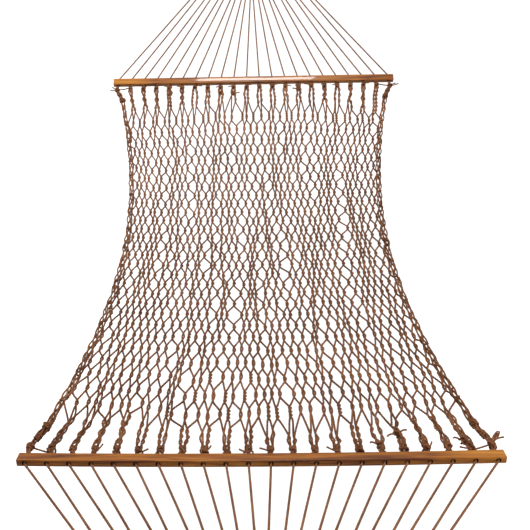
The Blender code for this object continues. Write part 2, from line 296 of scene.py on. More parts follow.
def drill(obj, cutter_bm, material, self_cut=False):
    """Cuts holes in an object, then shades it with one material; returns its mesh."""
    cutter_mesh = bpy.data.meshes.new("cut")
    cutter_bm.to_mesh(cutter_mesh)
    cutter_bm.free()
    cutter = add_object("cut", cutter_mesh)
    cut = obj.modifiers.new("holes", "BOOLEAN")
    cut.operation = "DIFFERENCE"
    cut.solver = "EXACT"
    cut.object = cutter
    cut.use_self = self_cut
    deps = bpy.context.evaluated_depsgraph_get()
    mesh = bpy.data.meshes.new_from_object(obj.evaluated_get(deps))
    obj.modifiers.clear()
    obj.data = mesh
    bpy.data.objects.remove(cutter, do_unlink=True)
    mesh.materials.clear()
    mesh.materials.append(material)
    mesh.shade_smooth()
    mesh.set_sharp_from_angle(angle=math.radians(32))
    return mesh


def add_drill(bm, spot, radius1, radius2, depth):
    """A round cutter lying along Y, with radius1 at its +Y end."""
    place = Matrix.Translation(spot) @ Matrix.Rotation(math.radians(90), 4, "X")
    bmesh.ops.create_cone(bm, cap_ends=True, segments=32, radius1=radius1,
                          radius2=radius2, depth=depth, matrix=place)


def bevel_sharp(bm, offset, segments):
    sharp = [e for e in bm.edges if len(e.link_faces) == 2 and e.calc_face_angle() > 1.0]
    bmesh.ops.bevel(bm, geom=sharp, offset=offset, segments=segments, profile=0.5,
                    affect="EDGES")


# ----------------------------------------------------------------- materials
def new_material(name):
    material = bpy.data.materials.new(name)
    material.use_nodes = True
    tree = material.node_tree
    return material, tree, tree.nodes["Principled BSDF"]


def set_inputs(shader, values):
    for key, value in values.items():
        shader.inputs[key].default_value = value


def node(tree, kind, **values):
    """A node with its inputs or, where it has no such input, properties set."""
    made = tree.nodes.new(kind)
    for key, value in values.items():
        if key in made.inputs:
            made.inputs[key].default_value = value
        else:
            setattr(made, key, value)
    return made


def noise(tree, vector, **values):
    made = node(tree, "ShaderNodeTexNoise", **values)
    tree.links.new(vector, made.inputs["Vector"])
    return made


def mapping(tree, vector, **values):
    made = node(tree, "ShaderNodeMapping", **values)
    tree.links.new(vector, made.inputs["Vector"])
    return made.outputs["Vector"]


def math_node(tree, operation, source, value):
    """A math node on a socket and a number; a third input is left to the caller."""
    made = node(tree, "ShaderNodeMath", operation=operation)
    tree.links.new(source, made.inputs[0])
    made.inputs[1].default_value = value
    return made


def ramp(tree, source, stops):
    """A colour ramp on a socket, from (position, colour) stops."""
    made = tree.nodes.new("ShaderNodeValToRGB")
    elements = made.color_ramp.elements
    while len(elements) > 1:
        elements.remove(elements[-1])
    elements[0].position = stops[0][0]
    elements[0].color = (*stops[0][1], 1)
    for position, colour in stops[1:]:
        elements.new(position).color = (*colour, 1)
    tree.links.new(source, made.inputs["Fac"])
    return made.outputs["Color"]


def add_bump(tree, shader, height, strength, distance):
    bump = node(tree, "ShaderNodeBump", Strength=strength, Distance=distance)
    tree.links.new(height, bump.inputs["Height"])
    tree.links.new(bump.outputs["Normal"], shader.inputs["Normal"])


def rope_material(name, dark, mid, light):
    """Soft twisted rope: streaks of fibre over a slow drift of colour."""
    material, tree, shader = new_material(name)
    place = tree.nodes.new("ShaderNodeTexCoord").outputs["Object"]
    drift = noise(tree, place, Scale=9.0, Detail=3.0, Roughness=0.6)
    mottle = noise(tree, place, Scale=120.0, Detail=3.0, Roughness=0.65)
    uvs = node(tree, "ShaderNodeUVMap", uv_map="Rope")
    stretched = mapping(tree, uvs.outputs["UV"], Scale=(160.0, 9.0, 1.0))
    fibres = noise(tree, stretched, Scale=1.6, Detail=4.0, Roughness=0.7)
    # the shares of the three noises in the colour
    drift_part = math_node(tree, "MULTIPLY_ADD", drift.outputs["Fac"], 0.55)
    mottle_part = math_node(tree, "MULTIPLY", mottle.outputs["Fac"], 0.30)
    tree.links.new(mottle_part.outputs[0], drift_part.inputs[2])
    total = math_node(tree, "MULTIPLY_ADD", fibres.outputs["Fac"], 0.35)
    tree.links.new(drift_part.outputs[0], total.inputs[2])
    colour = ramp(tree, total.outputs[0], [(0.38, dark), (0.60, mid), (0.84, light)])
    tree.links.new(colour, shader.inputs["Base Color"])
    set_inputs(shader, {"Roughness": 0.85, "Specular IOR Level": 0.18,
                        "Sheen Weight": 0.10, "Sheen Roughness": 0.5,
                        "Sheen Tint": (*light, 1)})
    add_bump(tree, shader, fibres.outputs["Fac"], strength=0.45, distance=0.0006)
    return material


def oak_material():
    """Straight-grained oak under a clear honey varnish."""
    material, tree, shader = new_material("varnished_oak")
    place = tree.nodes.new("ShaderNodeTexCoord").outputs["Object"]
    grain = mapping(tree, place, Scale=(1.6, 26.0, 26.0), Location=(2.7, 0.0, 0.0))
    figure = noise(tree, grain, Scale=2.0, Detail=5.0, Roughness=0.6, Distortion=0.6)
    fine_grain = mapping(tree, place, Scale=(10.0, 420.0, 420.0))
    pores = noise(tree, fine_grain, Scale=1.3, Detail=3.0, Roughness=0.55)
    wood = ramp(tree, figure.outputs["Fac"],
                [(0.34, (0.090, 0.022, 0.003)), (0.45, (0.210, 0.064, 0.006)),
                 (0.56, (0.295, 0.104, 0.010)), (0.70, (0.410, 0.165, 0.018))])
    pore_shade = ramp(tree, pores.outputs["Fac"],
                      [(0.33, (0.50, 0.40, 0.32)), (0.46, (1, 1, 1))])
    mix = node(tree, "ShaderNodeMix", data_type="RGBA", blend_type="MULTIPLY")
    mix.inputs["Factor"].default_value = 0.75
    tree.links.new(wood, mix.inputs["A"])
    tree.links.new(pore_shade, mix.inputs["B"])
    tree.links.new(mix.outputs["Result"], shader.inputs["Base Color"])
    set_inputs(shader, {"Roughness": 0.42, "Specular IOR Level": 0.14,
                        "Coat Weight": 0.38, "Coat Roughness": 0.06, "Coat IOR": 1.5})
    add_bump(tree, shader, pores.outputs["Fac"], strength=0.12, distance=0.0005)
    return material


def bore_grain_and_shade_material():
    """Raw grain inside the holes, darkened far below the oak as painted shade for the
    shadow down them.
    """
    material, tree, shader = new_material("oak_bore")
    place = tree.nodes.new("ShaderNodeTexCoord").outputs["Object"]
    grain = noise(tree, place, Scale=400.0, Detail=3.0, Roughness=0.6)
    # near-black ramp: painted shade inside the holes, over the raw grain
    colour = ramp(tree, grain.outputs["Fac"],
                  [(0.35, (0.020, 0.007, 0.002)), (0.70, (0.060, 0.022, 0.006))])
    tree.links.new(colour, shader.inputs["Base Color"])
    set_inputs(shader, {"Roughness": 0.9, "Specular IOR Level": 0.1})
    return material


def zinc_material():
    """Zinc-plated steel, its spangle varying both colour and roughness."""
    material, tree, shader = new_material("zinc_plated_steel")
    place = tree.nodes.new("ShaderNodeTexCoord").outputs["Object"]
    spangle = noise(tree, place, Scale=90.0, Detail=4.0, Roughness=0.6)
    colour = ramp(tree, spangle.outputs["Fac"],
                  [(0.3, (0.46, 0.47, 0.49)), (0.7, (0.66, 0.67, 0.69))])
    tree.links.new(colour, shader.inputs["Base Color"])
    rough = node(tree, "ShaderNodeMapRange")
    set_inputs(rough, {"To Min": 0.24, "To Max": 0.46})
    tree.links.new(spangle.outputs["Fac"], rough.inputs["Value"])
    tree.links.new(rough.outputs["Result"], shader.inputs["Roughness"])
    shader.inputs["Metallic"].default_value = 1.0
    return material


NET_ROPE = rope_material("net_rope", dark=(0.062, 0.021, 0.007),
                         mid=(0.152, 0.058, 0.024), light=(0.310, 0.135, 0.058))
CLEW_ROPE = rope_material("clew_rope", dark=(0.075, 0.029, 0.012),
                          mid=(0.155, 0.064, 0.029), light=(0.290, 0.134, 0.066))
WEFT = rope_material("weft_cord", dark=(0.055, 0.026, 0.016),
                     mid=(0.105, 0.053, 0.033), light=(0.18, 0.098, 0.064))
OAK = oak_material()
# the holes' insides: raw grain with painted shade
BORE_GRAIN_AND_SHADE = bore_grain_and_shade_material()
ZINC = zinc_material()


# -------------------------------------------------------------- shared places
def clew_point(side, x, inward, lift):
    """A point in the sloping clew: inward from the ring centre, lift off its plane."""
    outward = RING_STATION - inward
    c, s = math.cos(CLEW_ANGLE), math.sin(CLEW_ANGLE)
    return np.array([x, side * (BAR_Y + outward * c) - side * lift * s,
                     BAR_Z + outward * s + lift * c])


def hole_axis(side):
    """Direction of the bar holes, pointing away from the bed."""
    return np.array([0.0, side * math.cos(BAR_ANGLE), math.sin(BAR_ANGLE)])


def bar_normal(side):
    return np.array([0.0, -side * math.sin(BAR_ANGLE), math.cos(BAR_ANGLE)])


def bow_at(side, x):
    return BOW[side] * (1.0 - (x / (BAR_LENGTH / 2.0)) ** 2)


def hole_x(i):
    return (i - (HOLES - 1) / 2.0) * HOLE_PITCH


def hole_centre(side, i):
    x = hole_x(i)
    return np.array([x, side * BAR_Y, BAR_Z]) + hole_axis(side) * bow_at(side, x)


def bedside_mouth(side, i, gap):
    """On a hole's axis, gap clear of the bar face toward the bed."""
    return hole_centre(side, i) - hole_axis(side) * (BAR_DEPTH / 2 + gap)


def half_width(y):
    """Half the bed's width: narrowest at the middle, flaring to the bars."""
    return 0.5365 + 0.143 * np.abs(y) ** 1.9


def edge_x(edge, y):
    return edge * (half_width(y) - EDGE_INSET)


def bed_z(x, y):
    """Height of the empty bed: it hangs down along and a little across."""
    along = 1.0 - (y / BAR_Y) ** 2
    across = 1.0 - np.clip(np.abs(x) / (half_width(y) - 0.01), 0, 1) ** 2
    return BAR_Z - SAG * along - CROSS_SAG * across * along


def bed_normal(x, y):
    step = 1e-3
    dx = (bed_z(x + step, y) - bed_z(x - step, y)) / (2 * step)
    dy = (bed_z(x, y + step) - bed_z(x, y - step)) / (2 * step)
    return unit(np.stack([-dx, -dy, np.ones_like(dx)], -1))


def bunch_lean(x):
    """Sideways lean of a bunch toward the middle by the time it fans out."""
    return -0.034 * (abs(x) / 0.61) ** 3 * np.sign(x)


def join_bed(obj):
    """Bakes a net rope's transform into its mesh; its shape along the bed and to the bar
    comes from its path.
    """
    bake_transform(obj)


# ------------------------------------------------------------ plan of the net
# A "barrel" is a short length where two strands twist round each other. Even rows
# have a barrel for each pair; odd rows join neighbouring pairs, so they have one
# fewer, and there the outermost strands go round the edge ropes. The first and last
# rows are the bunches at the bars.
ROW_PITCHES = np.array([            # y, distance to the next row
    (-0.90, 0.072), (-0.70, 0.069), (-0.60, 0.065), (-0.50, 0.060), (-0.40, 0.0565),
    (-0.28, 0.0535), (0.15, 0.0535), (0.30, 0.0555), (0.40, 0.058), (0.50, 0.062),
    (0.60, 0.068), (0.70, 0.077), (0.80, 0.086)])


def plan_rows():
    """Centre and half length of each row of barrels, foot to head."""
    ys = [FIRST_ROW_Y]
    while True:
        step = np.interp(ys[-1], ROW_PITCHES[:, 0], ROW_PITCHES[:, 1])
        if ys[-1] + step > LAST_ROW_Y + 0.012:
            break
        ys.append(ys[-1] + step)
    if len(ys) % 2 == 0:
        ys.append(ys[-1] + step)
    ys = np.array(ys)
    ys = ys[0] + (ys - ys[0]) * (LAST_ROW_Y - ys[0]) / (ys[-1] - ys[0])
    half = np.gradient(ys) * (0.322 + 0.020 * np.abs(ys))
    middle = {side: (KNOT_Y[side] + FAN_Y[side]) / 2 for side in END}
    reach = {side: abs(KNOT_Y[side] - FAN_Y[side]) / 2 for side in END}
    return (np.concatenate([[middle[-1]], ys, [middle[1]]]),
            np.concatenate([[reach[-1]], half, [reach[1]]]))


ROW_Y, ROW_HALF = plan_rows()
ROWS = len(ROW_Y)


def smooth_noise(shape, passes):
    """Unit noise, blurred along its first axis."""
    values = RNG.normal(size=shape)
    for _ in range(passes):
        padded = np.concatenate([values[:1], values, values[-1:]])
        values = (padded[:-2] + 2 * padded[1:-1] + padded[2:]) / 4
    return values / values.std()


def even_columns(row, edge):
    count, offset = (PAIRS, 0.5) if row % 2 == 0 else (PAIRS - 1, 1.0)
    return -edge[row] + (np.arange(count) + offset) * 2 * edge[row] / PAIRS


def strand_weights():
    """Weight of each strand's stretch between a row and the next."""
    weights = np.exp(0.80 * smooth_noise((ROWS - 1, STRANDS), 3)
                     + 0.28 * smooth_noise((ROWS - 1, STRANDS), 0))
    # the corners by the bars are pulled out wide
    for r in range(ROWS - 1):
        near_bar = np.clip((abs(ROW_Y[r] + ROW_Y[r + 1]) / 2 - 0.50) / 0.35, 0, 1)
        for s in range(9):
            ease = 1 - 0.55 * near_bar * (1 - s / 9.0)
            weights[r, s] *= ease
            weights[r, STRANDS - 1 - s] *= ease
    return weights


def relax_columns():
    """Sideways places of all barrels: each is pulled by the four it joins."""
    edge = half_width(ROW_Y) - 0.022
    cols = [even_columns(r, edge) for r in range(ROWS)]
    for r in (0, ROWS - 1):
        for bunch in range(BUNCHES):
            hole = hole_x(bunch + 1)
            spread = RNG.uniform(0.0068, 0.0102) - 0.0010 * (abs(hole) / 0.61) ** 2
            middle = hole + bunch_lean(hole) * (1.0 if r == 0 else 0.9)
            cols[r][2 * bunch] = middle - spread
            cols[r][2 * bunch + 1] = middle + spread
    weights = strand_weights()
    for _ in range(700):
        for r in range(1, ROWS - 1):
            acc = np.zeros(len(cols[r]))
            total = np.zeros(len(cols[r]))
            for other, stretch in ((r - 1, weights[r - 1]), (r + 1, weights[r])):
                for role in (0, 1):
                    if r % 2 == 0:
                        s = 2 * np.arange(PAIRS) + role
                        inside = (s > 0) & (s < STRANDS - 1)
                        x = np.where(inside,
                                     cols[other][np.clip((s - 1) // 2, 0, PAIRS - 2)],
                                     np.where(s == 0, -edge[other], edge[other]))
                    else:
                        s = 2 * np.arange(PAIRS - 1) + 1 + role
                        x = cols[other][s // 2]
                    # long sideways reaches pull harder
                    pull = stretch[s] * (1 + ((x - cols[r]) / 0.017) ** 2)
                    acc += pull * x
                    total += pull
            cols[r] = cols[r] * 0.5 + acc / total * 0.5
    # away from the bars, even out the overall trend but keep the local pulls
    for r in range(1, ROWS - 1):
        u = np.linspace(-1, 1, len(cols[r]))
        trend = np.polynomial.polynomial.polyval(
            u, np.polynomial.polynomial.polyfit(u, cols[r], 7))
        share = 0.85 * np.clip((0.93 - abs(ROW_Y[r])) / 0.30, 0, 1)
        cols[r] = cols[r] + share * (even_columns(r, edge) - trend)
    # keep neighbours in a row from crossing
    min_gap, end_gap = 0.0135, 0.006
    for _ in range(40):
        for r in range(1, ROWS - 1):
            row = cols[r]
            push = np.maximum(min_gap - np.diff(row), 0) / 2
            row[:-1] -= push
            row[1:] += push
            np.clip(row, -edge[r] + end_gap, edge[r] - end_gap, out=row)
    return cols


COLS = relax_columns()


def shift_rows():
    """How far each barrel strays along Y from its row, and the bunches' tips too."""
    loose = 1.0 + 1.5 * np.clip((np.abs(ROW_Y) - 0.45) / 0.45, 0, 1)
    shift = [(smooth_noise((len(row),), 1) * 0.0030
              + smooth_noise((len(row),), 6) * 0.0036) * ease
             for row, ease in zip(COLS, loose)]
    # the outer bunches stay together longer, and push the nearby rows inwards
    tips = {}
    for side, far in ((-1, 0.060), (1, 0.085)):
        for step in range(7):
            r = step if side < 0 else ROWS - 1 - step
            fade = 1 - step / FADE_ROWS
            shift[r] = shift[r] - side * far * fade * (np.abs(COLS[r]) / 0.6) ** 2.2
            if step == 0:
                shift[r] = shift[r] + smooth_noise((len(COLS[r]),), 0) * 0.011
                tips[side] = shift[r]
    return shift, tips


SHIFT_Y, TIP_SHIFT = shift_rows()
BARREL_HALF = [half * np.exp(0.10 * RNG.normal(size=len(row)))
               for half, row in zip(ROW_HALF, COLS)]


def barrel_index(row, strand):
    return (strand - row % 2) // 2


def tip_y(side, pair):
    return FAN_Y[side] + TIP_SHIFT[side][pair]


def settle_rows():
    """No cord runs straight across: its two barrels move apart or shorten."""
    for _ in range(60):
        for r in range(ROWS - 1):
            for s in range(1, STRANDS - 1):
                a, b = barrel_index(r, s), barrel_index(r + 1, s)
                if r == 0:
                    leaves = tip_y(-1, a)
                else:
                    leaves = ROW_Y[r] + SHIFT_Y[r][a] + BARREL_HALF[r][a]
                if r == ROWS - 2:
                    arrives = tip_y(1, b)
                else:
                    arrives = ROW_Y[r + 1] + SHIFT_Y[r + 1][b] - BARREL_HALF[r + 1][b]
                sideways = abs(COLS[r][a] - COLS[r + 1][b])
                lack = min(0.011 + 0.95 * sideways, 0.036) - (arrives - leaves)
                if lack <= 0:
                    continue
                # the bunches stay put; direction is away from the gap
                for row, k, away in ((r, a, -1), (r + 1, b, 1)):
                    if row in (0, ROWS - 1):
                        continue
                    SHIFT_Y[row][k] += away * lack * 0.16
                    if BARREL_HALF[row][k] > ROW_HALF[row] * 0.70:
                        BARREL_HALF[row][k] -= lack * 0.10


settle_rows()

# bunches whose two halves make a whole turn round each other
TWISTED = {-1: (1, 2, 3, 16, 17, 18), 1: (0, 1, 2, 4, 15, 17, 18)}
# for each bunch: how far its halves open, how far it snakes, and the snake's phase
WANDER = {side: np.stack([RNG.uniform(*opening, BUNCHES), RNG.uniform(*snake, BUNCHES),
                          RNG.uniform(0, 6.28, BUNCHES)], 1)
          for side, opening, snake in ((-1, (-0.0012, 0.0040), (0.0005, 0.0035)),
                                       (1, (-0.0012, 0.0045), (0.0008, 0.0034)))}


# -------------------------------------------------------------- the rope net
# The stretches of a strand are given as plan points and heights off the bed. In a
# barrel, role is -1 for the left strand of the two and +1 for the right one.
def quarter_turn(direction):
    return np.array([direction[1], -direction[0]])


def round_edge(strand, row):
    """One turn of an outermost strand round the edge rope."""
    edge = -1 if strand == 0 else 1
    half_length = 0.016
    fade = max(0.0, 1 - min(row, ROWS - 1 - row) / FADE_ROWS)
    middle = ROW_Y[row] - np.sign(ROW_Y[row]) * 0.058 * fade
    phi = np.linspace(0, 2 * np.pi, 15)
    y = np.linspace(middle - half_length, middle + half_length, 15)
    reach = np.where(np.cos(phi) > 0, 0.0108, 0.0088)
    x = edge_x(edge, y) - edge * reach * np.cos(phi)
    return np.stack([x, y], 1), 0.0092 * np.sin(phi) * (1 if row % 4 == 1 else -1)


def bunch_stretch(strand, row):
    """A strand between its bar knot and the place where its bunch fans out."""
    foot = row == 0
    side = -1 if foot else 1
    bunch, pair, role = strand // 4, strand // 2, (strand % 2) * 2 - 1
    way = 1 if strand % 4 >= 2 else -1
    hole = hole_x(bunch + 1)
    knot = np.array([hole + way * HALF_BUNCH, KNOT_Y[side]])
    tip = np.array([COLS[row][pair], tip_y(side, pair)])
    half_turns = 2 * int(round((abs(tip[1] - knot[1]) / 0.030 - 1) / 2)) + 1
    start, end = (knot, tip) if foot else (tip, knot)
    f = np.linspace(0, 1, 4 * half_turns + 5)
    phi = (np.pi * (1.5 - half_turns * (1 - f)) if foot
           else np.pi * (0.5 + half_turns * f))
    base = start + (end - start) * f[:, None]

    # the two pairs open and snake, and in some bunches turn round each other
    twisted = bunch in TWISTED[side]
    opening, snake, phase = WANDER[side][bunch] * (0.15 if twisted else 1.0)
    base[:, 0] += (np.sin(np.pi * f) * opening * way
                   + np.sin(2 * np.pi * f + phase) * snake * np.sin(np.pi * f))
    turn = 2 * np.pi * twisted * f * f * (3 - 2 * f)
    tip_middle = (COLS[row][2 * bunch] + COLS[row][2 * bunch + 1]) / 2
    line_x = hole + (tip_middle - hole) * (f if foot else 1 - f)
    apart = base[:, 0] - line_x
    if twisted:
        apart = apart * (1 - 0.30 * np.sin(np.pi * f) ** 2)
    base[:, 0] = line_x + apart * np.cos(turn)

    # the two strands of a pair twist too
    radius = STRAND_R * 1.02 * role
    sideways = quarter_turn(unit(end - start))
    plan = base + sideways * (np.cos(phi) * radius)[:, None]
    return plan, apart * np.sin(turn) - np.sin(phi) * radius


def joined_x(row, k, other):
    """Mean sideways place of what a barrel joins in a neighbouring row."""
    if row % 2:
        return np.mean([COLS[other][k], COLS[other][k + 1]])
    joined = [COLS[other][j] for j in (k - 1, k) if 0 <= j < PAIRS - 1]
    if k in (0, PAIRS - 1):
        joined.append(np.sign(k - 1) * (half_width(ROW_Y[other]) - 0.02))
    return np.mean(joined)


def barrel_stretch(strand, row):
    """A strand through a barrel, which lines up with the cords it joins."""
    k = barrel_index(row, strand)
    role = ((strand - row % 2) % 2) * 2 - 1
    half = BARREL_HALF[row][k]
    direction = unit(np.array([
        (joined_x(row, k, row + 1) - joined_x(row, k, row - 1)) * 0.9,
        ROW_Y[row + 1] - ROW_Y[row - 1]]))
    crossings, count = (2, 12) if half < 0.0245 else (4, 18)
    f = np.linspace(-1, 1, count)
    # they cross at both ends, and lie side by side between
    phi = np.pi * crossings / 2 + np.pi * (crossings - 1) * 1.16 * f / 2
    radius = STRAND_R * 1.03 * role
    centre = np.array([COLS[row][k], ROW_Y[row] + SHIFT_Y[row][k]])
    plan = (centre + direction * (f * half)[:, None]
            + quarter_turn(direction) * (np.cos(phi) * radius)[:, None])
    return plan, -np.sin(phi) * radius


def bridge(plan_a, lift_a, plan_b, lift_b):
    """The free cord between two stretches, smooth with both."""
    start, end = plan_a[-1], plan_b[0]
    span = np.linalg.norm(end - start)
    g = np.linspace(0, 1, max(6, int(round(span / 0.0032))) + 1)[1:-1]
    leave, arrive = start - plan_a[-2], plan_b[1] - end
    leave = leave / max(np.linalg.norm(leave), 1e-9) * span * 0.42
    arrive = arrive / max(np.linalg.norm(arrive), 1e-9) * span * 0.42
    plan = ((2 * g ** 3 - 3 * g ** 2 + 1)[:, None] * start
            + (g ** 3 - 2 * g ** 2 + g)[:, None] * leave
            + (-2 * g ** 3 + 3 * g ** 2)[:, None] * end
            + (g ** 3 - g ** 2)[:, None] * arrive)
    lift = lift_a[-1] + (lift_b[0] - lift_a[-1]) * (3 * g ** 2 - 2 * g ** 3)
    return plan, lift


def strand_path(strand):
    """One strand's centre line from the foot knots to the head knots."""
    stretches = []
    for row in range(ROWS):
        if row in (0, ROWS - 1):
            stretch = bunch_stretch(strand, row)
        elif row % 2 and strand in (0, STRANDS - 1):
            stretch = round_edge(strand, row)
        else:
            stretch = barrel_stretch(strand, row)
        if stretches:
            stretches.append(bridge(*stretches[-1], *stretch))
        stretches.append(stretch)
    plan = np.concatenate([points for points, _ in stretches])
    lift = np.concatenate([heights for _, heights in stretches])
    x, y = plan[:, 0], plan[:, 1]
    return np.stack([x, y, bed_z(x, y)], 1) + bed_normal(x, y) * lift[:, None]


def build_net():
    pitch = 0.026
    for bunch in range(BUNCHES):
        halves = {-1: Parts(), 1: Parts()}
        for strand in range(4 * bunch, 4 * bunch + 4):
            path = strand_path(strand)
            cut = int(np.argmin(np.abs(path[:, 1])))
            radius = STRAND_R * (1 + 0.03 * RNG.normal())
            phase = RNG.uniform(0, 6)
            cut_at = arclength(path)[cut]
            for side, part, start in ((-1, path[:cut + 1], 0.0), (1, path[cut:], cut_at)):
                tube(halves[side], part, radius, depth=0.12, pitch=pitch,
                     phase=phase + 2 * np.pi * start / pitch, up=UP)
        for side in (-1, 1):
            obj = halves[side].object(f"net_{END[side]}_{bunch + 1:02d}", NET_ROPE)
            join_bed(obj)
    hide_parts("rope_net")


build_net()


# ---------------------------------------------------------------- edge ropes
def edge_path(side, edge):
    """Along the bed's side, then leaning to the outermost hole."""
    y = np.linspace(0, side * 0.972, 250)
    x = edge_x(edge, y)
    line = np.stack([x, y, bed_z(x, y)], -1)
    hole = bedside_mouth(side, 0 if edge < 0 else HOLES - 1, 0.0032)
    before_hole = hole + np.array([0, -side * 0.034, -0.006])
    hook = catmull([line[-30], line[-12], before_hole, hole], 10)
    return resample(np.vstack([line[:-30], hook]), 0.0042)


def build_edge_rope(side, edge, path):
    parts = Parts()
    s = arclength(path)
    length = s[-1]
    _, across, over = frames(path, UP)
    # cord thickness, drawn-in and spread of the lay from mid bed to the hole
    fat = np.interp(s, [0, length - 0.45, length],
                    [0.84, 0.88, 1.08 if side < 0 else 0.90])
    tight = np.interp(s, [0, length - 0.12, length - 0.02, length],
                      [1.0, 1.0, 0.75, 0.45])
    spread = np.interp(s, [0, length - 0.45, length - 0.10, length],
                       [1.32, 1.28, 1.12, 1.05 if side < 0 else 0.90])
    # four cords laid loosely together
    for k in range(4):
        angle = 2 * np.pi * s / 0.23 * -edge + k * 2 * np.pi / 4 + side
        wobble = 1 + 0.25 * np.sin(s * 57 + k * 2.1)
        reach = 0.0060 * tight * wobble * spread
        cord = (path + across * (np.cos(angle) * reach * 1.15)[:, None]
                + over * (np.sin(angle) * reach * 0.8)[:, None])
        tube(parts, cord, 0.0033 * (0.3 + 0.7 * fat), sides=9, depth=0.10, pitch=0.026,
             phase=k, up=UP)
    # a thinner cord laced round them
    angle = 2 * np.pi * s / 0.120 * edge + 0.7
    loose = (1 + 0.16 * np.sin(s * 41 + edge)) * fat
    lace = (path + across * (np.cos(angle) * 0.0094 * loose)[:, None]
            + over * (np.sin(angle) * 0.0080 * fat)[:, None])
    tube(parts, lace[s < length - 0.05], 0.0027, up=UP)
    obj = parts.object(f"{EDGE[edge]}_edge_rope_{END[side]}", NET_ROPE)
    join_bed(obj)
    if side == -1:
        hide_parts(EDGE[edge] + "_edge_rope")


def build_corner_knots(side, edge, path):
    """Knots tied on the edge rope by the bar, with loose ends and a tie cord."""
    parts = Parts()
    s = arclength(path)
    along = tangents(path)

    def before_end(distance):
        return int(np.argmin(np.abs(s - (s[-1] - distance))))

    last_size = 0.033 if (side, edge) == (-1, 1) else 0.024
    # distance back from the hole, knot size, radius of the wrapping
    knots = ((0.112, 0.030, 0.0112), (0.066, 0.019, 0.0090), (0.030, last_size, 0.0090))
    for j, (back, size, wrap_r) in enumerate(knots):
        i = before_end(back)
        wrap = coil(path[i], along[i], radius=wrap_r, turns=2.6, length=0.018,
                    phase=j + edge, squash=0.85)
        knot_cord(parts, wrap, 0.0031)
        knot = path[i] + knot_curve(size, 40 + j + 5 * edge + 3 * side)
        knot_cord(parts, knot, 0.0032)

    root = path[before_end(0.034)]
    rng = np.random.default_rng(70 + edge + 2 * side)
    loose_ends = {(-1, -1): 0, (-1, 1): 4}.get((side, edge), 2)
    for _ in range(loose_ends):
        out = unit(np.array([edge * rng.uniform(0.3, 1.0),
                             -side * rng.uniform(-0.2, 0.9), 0.25]))
        bend = unit(np.cross(out, UP)) * rng.uniform(-0.5, 0.5)
        length = rng.uniform(0.026, 0.040)
        loose = catmull([root, root + out * length * 0.5,
                         root + out * length * 0.85 + bend * length * 0.25,
                         root + out * length * 1.1 + bend * length * 0.6])
        knot_cord(parts, loose, 0.0028)

    # a cord ties the corner to the next hole's knot
    near = path[before_end(0.030)]
    far = bedside_mouth(side, 1 if edge < 0 else HOLES - 2, 0.013)
    middle = (near + far) / 2 + np.array([0, 0, -0.002])
    knot_cord(parts, catmull([near, middle, far], 8), 0.0030)
    obj = parts.object(f"{END[side]}_{EDGE[edge]}_corner_knots", NET_ROPE)
    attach(obj, END[side] + "_end")


for edge in (-1, 1):
    for side in (-1, 1):
        path = edge_path(side, edge)
        build_edge_rope(side, edge, path)
        build_corner_knots(side, edge, path)


# ---------------------------------------------------------------- clew cords
def mat_leave(lane):
    """How far in from the ring centre a cord leaves the mat."""
    return MAT_TIP + (MAT_OUTER - MAT_TIP) * abs(lane) / OUTER_LANE


def clew_leg(side, lane, layer, hole):
    """Half a clew cord, from its hole to the ring; layer is +1 above, -1 below."""
    centre = hole_centre(side, hole)
    axis = hole_axis(side)
    x = LANE * lane
    mouth = centre + axis * (BAR_DEPTH / 2 + 0.0005)
    join = clew_point(side, x, mat_leave(lane), 0.0055 * layer)
    toward = unit(join - mouth)
    across = toward - axis * (toward @ axis)
    # in the mouth the cord lies off centre, toward its pull and low
    mouth = (mouth + across / max(np.linalg.norm(across), 1e-6) * 0.0008
             - bar_normal(side) * (0.0009 if side < 0 else 0.0011))
    return [bedside_mouth(side, hole, 0.0030), centre, mouth,
            mouth + toward * 0.004 + axis * 0.0006,
            mouth + toward * 0.012 + axis * 0.0006,
            mouth + (join - mouth) * 0.5, join,
            clew_point(side, x, 0.048, RING_GAP * layer)]


def build_clew_cord(side, lane):
    """A cord from one hole, over the ring and back to the next hole."""
    first_hole = 2 * (lane + OUTER_LANE)
    top = clew_leg(side, lane, 1, first_hole)
    low = clew_leg(side, lane, -1, first_hole + 1)
    x = LANE * lane
    over_ring = []
    for k in range(13):
        angle = math.pi * k / 12
        radius = RING_R - RING_GAP * math.sin(angle)
        over_ring.append(clew_point(side, x, math.sqrt(radius ** 2 - x ** 2),
                                    RING_GAP * math.cos(angle)))
    path = resample(np.array(top + over_ring + low[::-1]), 0.0024)
    soften(path, 2)
    # packed thin in the mat, full size where free
    from_ring = np.linalg.norm(path - clew_point(side, 0, 0, 0), axis=1)
    free = np.clip((from_ring - mat_leave(lane) - 0.01) / 0.12, 0.0, 1.0)
    parts = Parts()
    tube(parts, path, PACKED_CORD_R + (CORD_R - PACKED_CORD_R) * free, sides=9,
         depth=0.105, phase=RNG.uniform(0, 6))
    name = f"{END[side]}_clew_cord_{lane + 6:02d}"
    obj = parts.object(name + "_rope", CLEW_ROPE)
    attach(obj, END[side] + "_end")
    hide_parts(name)


for side in (-1, 1):
    for lane in range(-OUTER_LANE, OUTER_LANE + 1):
        build_clew_cord(side, lane)


# ------------------------------------------------------- knots along the bars
# loose tails, by side and hole: (way in X, lean toward the bed)
TAILS = {-1: {3: (1, 0.9), 8: (1, 0.8), 10: (-1, 0.1), 11: (-1, 0.7), 18: (1, 0.9),
              20: (-1, 0.1), 5: (1, 0.2), 14: (-1, 0.4)},
         1: {2: (1, -0.2), 4: (-1, 0.1), 5: (-1, 0.2), 6: (1, 0.1), 8: (-1, 0.5),
             9: (-1, 0.6), 10: (1, 0.0), 12: (1, 0.0), 13: (1, 0.6), 15: (-1, 0.1),
             17: (-1, 0.5), 19: (1, 0.2)}}

# extra knots, by (side, hole): (distance from the bar toward the bed, tails)
EXTRA_KNOTS = {(-1, 17): (0.075, 2), (-1, 16): (0.030, 1), (1, 9): (0.062, 1),
               (1, 8): (0.055, 0), (1, 4): (0.060, 0), (1, 14): (0.040, 1),
               (-1, 20): (0.040, 1)}


